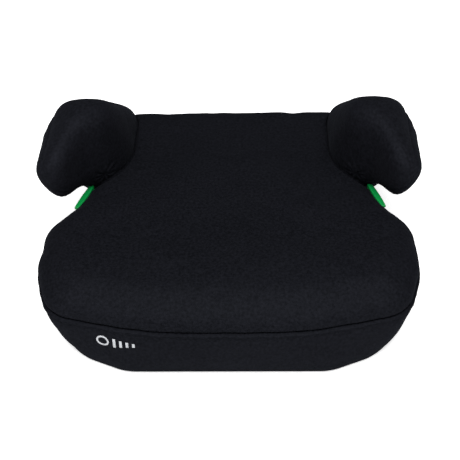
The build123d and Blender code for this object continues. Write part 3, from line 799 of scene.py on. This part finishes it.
FABRIC_TOP = fabric_material("knit_seat", (0.0012, 0.0013, 0.0018), (0.0080, 0.0084, 0.0112))
# the armrests' knit is the seat's knit painted lighter (base about a third, lift about a fifth): painted light
# that makes up for the light the armrests' inner faces get less of
FABRIC_ARM_PAINTED_LIGHTER = fabric_material("knit_arm_painted_lighter", (0.0016, 0.0017, 0.0023), (0.0096, 0.0101, 0.0134))
SHELL = plastic_material("shell_plastic", (0.012, 0.012, 0.013), 0.5)
BASE = plastic_material("base_plastic", (0.014, 0.014, 0.015), 0.55, 0.3, 0.5, 1100.0)
HOOK = plastic_material("hook_plastic", (0.01, 0.01, 0.011), 0.4)
GREEN = plastic_material("guide_plastic", (0.0, 0.24, 0.045), 0.42, 0.08)
RUBBER = plastic_material("foot_rubber", (0.012, 0.012, 0.012), 0.8, 0.4, 0.3, 900.0)
ELASTIC = fabric_material("elastic_band", (0.006, 0.006, 0.007), (0.02, 0.02, 0.022), 0.9, 0.5)
PRINT = plastic_material("print_ink", (0.42, 0.43, 0.45), 0.6, 0.35, 0.3, 900.0)
STEEL = metal_material("screw_steel")

CAD_MATERIALS = {
    "seat_shell": SHELL, "base_cover": BASE, "base_screws": STEEL, "armrest_half_screws": STEEL,
    "armrest_root_bolts": STEEL, "belt_guide_screws": STEEL, "cover_elastic": ELASTIC, "cover_hooks": HOOK,
}
for side in ("left", "right"):
    CAD_MATERIALS[f"armrest_inner_half_{side}"] = SHELL
    CAD_MATERIALS[f"armrest_outer_half_{side}"] = SHELL
    CAD_MATERIALS[f"belt_guide_{side}"] = GREEN
    for end in ("front", "rear"):
        CAD_MATERIALS[f"foot_{end}_{side}"] = RUBBER
for node, material in CAD_MATERIALS.items():
    NODES[node].data.materials.clear()
    NODES[node].data.materials.append(material)


# ------------------------------------------------------------------ pieces
SEAT_FABRIC, SKIRT_FABRIC = 1.6, 1.4       # thicknesses
HEM_HEIGHT, HEM_WIDTH = 3, 25.0            # the turned-under hem: its height and how far in it reaches
RING_CENTRE, RING_INNER, RING_WIDE = 7, 5.0, 2.0
BAR_HEIGHTS, BAR_START, BAR_PITCH, BAR_WIDE = (12, 9, 7, 5), 18.5, 7, 3
PRINT_LIFT, PRINT_FILM = 0.0003, 0.0004    # metres: height over the fabric, thickness
RAY_START_Y = -300                         # in front of the skirt


def shell_piece(name, p, quads, thickness, material, *stands_for):
    """A fabric panel: the outer skin given thickness inwards."""
    pts, q = compact(p, quads)
    obj = mesh_object(name, pts, q)
    solid = obj.modifiers.new("thickness", "SOLIDIFY")
    solid.thickness = thickness * MM
    solid.offset = -1
    apply_modifiers(obj)
    obj.data.materials.append(material)
    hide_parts(*stands_for)
    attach(obj, "root")
    return obj


def print_mark(surface):
    """A plain transfer print on the skirt's front: a ring and four bars, laid on the fabric."""
    low, high = box_mm("cover_print")
    left, middle = low[0], (low[2] + high[2]) / 2
    tree = bvhtree.BVHTree.FromPolygons([v.co for v in surface.data.vertices],
                                        [f.vertices for f in surface.data.polygons])
    points, faces = [], []

    def patch(rows, columns, place, closed=False):
        """A grid of faces whose points place() gives. Closed joins its last column to the first."""
        first = len(points)
        for r in range(rows + 1):
            for c in range(columns + (0 if closed else 1)):
                points.append(place(r / rows, c / columns))
        wide = columns if closed else columns + 1
        for r in range(rows):
            for c in range(columns):
                a, b = first + r * wide + c, first + r * wide + (c + 1) % wide
                faces.append((a, b, b + wide, a + wide))

    def on_ring(across, around):
        radius = RING_INNER + RING_WIDE * across
        angle = around * 2 * math.pi
        return left + RING_CENTRE + radius * math.cos(angle), middle + radius * math.sin(angle)

    patch(2, 64, on_ring, closed=True)
    for i, height in enumerate(BAR_HEIGHTS):
        start = left + BAR_START + BAR_PITCH * i
        patch(3, 12, lambda u, v, start=start, height=height:
              (start + BAR_WIDE * u, middle + height * (0.5 - v)))
    placed = []
    for x, z in points:
        hit, normal, _, _ = tree.ray_cast(Vector((x, RAY_START_Y, z)) * MM, Vector((0, 1, 0)))
        placed.append((hit + normal * PRINT_LIFT) / MM)
    obj = mesh_object("print_mark", placed, faces)
    solid = obj.modifiers.new("film", "SOLIDIFY")
    solid.thickness = PRINT_FILM
    solid.offset = 0
    apply_modifiers(obj)
    obj.data.materials.append(PRINT)
    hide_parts("cover_print")
    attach(obj, "root")


body_p, body_quads, body_top = build_body()
shell_piece("seat_panel", body_p, body_quads[body_top], SEAT_FABRIC, FABRIC_TOP, "seat_cover_top", "seat_foam")
centre = body_p[body_quads].mean(1)
inside = HEM_FIELD(np.abs(centre[:, 0]), centre[:, 1]) < -HEM_WIDTH
under = (centre[:, 2] < HEM_Z + HEM_HEIGHT) & inside
skirt_panel = shell_piece("skirt_panel", body_p, body_quads[~body_top & ~under], SKIRT_FABRIC, FABRIC_TOP,
                          "seat_cover_skirt")
print_mark(skirt_panel)
arm_p, arm_quads = build_arm()
for side, sign in (("right", 1), ("left", -1)):
    pts = arm_p * np.array([sign, 1, 1])
    q = arm_quads if sign > 0 else arm_quads[:, ::-1]
    arm = mesh_object(f"armrest_pad_{side}", pts, q)
    # the armrests wear the seat's knit painted lighter, as painted light for their less lit inner faces
    arm.data.materials.append(FABRIC_ARM_PAINTED_LIGHTER)
    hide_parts(f"armrest_foam_{side}", f"armrest_cover_top_{side}", f"armrest_cover_outer_{side}")
    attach(arm, "root")


# ------------------------------------------------------------------ floor, light, camera
WORLD_LIGHT, WORLD_SEEN = 0.22, 0.88       # the world's strength, and what the camera sees on top of it
FLOOR_LIGHT, FLOOR_SEEN = 0.52, 0.1        # the same for the floor's own glow
FLOOR_HALF, FLOOR_Z = 6000, -0.2           # mm
FLOOR_WHITE = 0.93
SOFTBOX = ("front_softbox", (0, -0.75, 1.8), (0, 0, 0.05), (1.5, 0.8), 52)
FILL = ("front_fill", (0, -1.8, 1.25), (0, 0, 0.08), (1.6, 0.8), 6)
CAMERA_RISE, CAMERA_TURN, CAMERA_TILT = 39.5, 2.2, -1.76   # degrees
CAMERA_TARGET, CAMERA_DISTANCE = (0.004, 0, 0.080), 1.300
VIEW_SIZE, FOCAL_LENGTH, VIEW_CENTRE = 460, 1098, (233.1, 213.5)   # in the picture's own units
SENSOR = 36


def add_area(name, location, target, size, power):
    """A rectangular light that faces its target."""
    light = bpy.data.lights.new(name, "AREA")
    light.energy = power
    light.shape = "RECTANGLE"
    light.size, light.size_y = size
    obj = bpy.data.objects.new(name, light)
    obj.location = location
    obj.rotation_mode = "QUATERNION"
    obj.rotation_quaternion = (Vector(target) - Vector(location)).to_track_quat("-Z", "Y")
    bpy.context.scene.collection.objects.link(obj)


def seen_or_lit(g, light, seen, strength):
    """A strength that the camera sees brighter than the light it gives off."""
    ray = g.add("ShaderNodeLightPath").outputs["Is Camera Ray"]
    g.link(g.math("ADD", g.math("MULTIPLY", ray, seen), light), strength)


def add_world():
    """A plain, even world light."""
    world = bpy.data.worlds.new("studio")
    bpy.context.scene.world = world
    world.use_nodes = True
    world.node_tree.nodes.clear()
    g = Graph(world.node_tree)
    background = g.add("ShaderNodeBackground")
    seen_or_lit(g, WORLD_LIGHT, WORLD_SEEN, background.inputs["Strength"])
    g.link(background.outputs[0], g.add("ShaderNodeOutputWorld").inputs[0])


def add_floor():
    """A large white floor that glows a little, so that it stays white."""
    corners = [(-1, -1), (1, -1), (1, 1), (-1, 1)]
    floor = mesh_object("floor", np.array([(FLOOR_HALF * x, FLOOR_HALF * y, FLOOR_Z) for x, y in corners]),
                        [(0, 1, 2, 3)])
    m, g, bsdf, _ = plain_material("floor_white")
    bsdf.inputs["Base Color"].default_value = (FLOOR_WHITE, FLOOR_WHITE, FLOOR_WHITE, 1)
    bsdf.inputs["Roughness"].default_value = 0.9
    bsdf.inputs["Specular IOR Level"].default_value = 0.1
    bsdf.inputs["Emission Color"].default_value = (1, 1, 1, 1)
    seen_or_lit(g, FLOOR_LIGHT, FLOOR_SEEN, bsdf.inputs["Emission Strength"])
    floor.data.materials.append(m)


def add_camera():
    """The photo's camera: turned, tilted and shifted as its outline asks."""
    scene = bpy.context.scene
    cam_data = bpy.data.cameras.new("camera")
    cam = bpy.data.objects.new("camera", cam_data)
    scene.collection.objects.link(cam)
    scene.camera = cam
    rise, turn, tilt = (math.radians(angle) for angle in (CAMERA_RISE, CAMERA_TURN, CAMERA_TILT))
    back = Vector((math.sin(turn) * math.cos(rise), -math.cos(turn) * math.cos(rise), math.sin(rise)))
    level = Vector((math.cos(turn), math.sin(turn), 0))
    upright = back.cross(level)
    right = level * math.cos(tilt) + upright * math.sin(tilt)
    up = back.cross(right)
    cam.location = Vector(CAMERA_TARGET) + back * CAMERA_DISTANCE
    cam.rotation_mode = "QUATERNION"
    cam.rotation_quaternion = Matrix((right, up, back)).transposed().to_quaternion()
    cam_data.sensor_width = SENSOR
    cam_data.lens = FOCAL_LENGTH / VIEW_SIZE * SENSOR
    cam_data.shift_x = (VIEW_SIZE / 2 - VIEW_CENTRE[0]) / VIEW_SIZE
    cam_data.shift_y = (VIEW_CENTRE[1] - VIEW_SIZE / 2) / VIEW_SIZE
    cam_data.clip_start, cam_data.clip_end = 0.05, 30


bpy.context.scene.view_settings.view_transform = "Standard"
bpy.context.scene.view_settings.look = "None"
add_world()
add_floor()
add_area(*SOFTBOX)
add_area(*FILL)
add_camera()
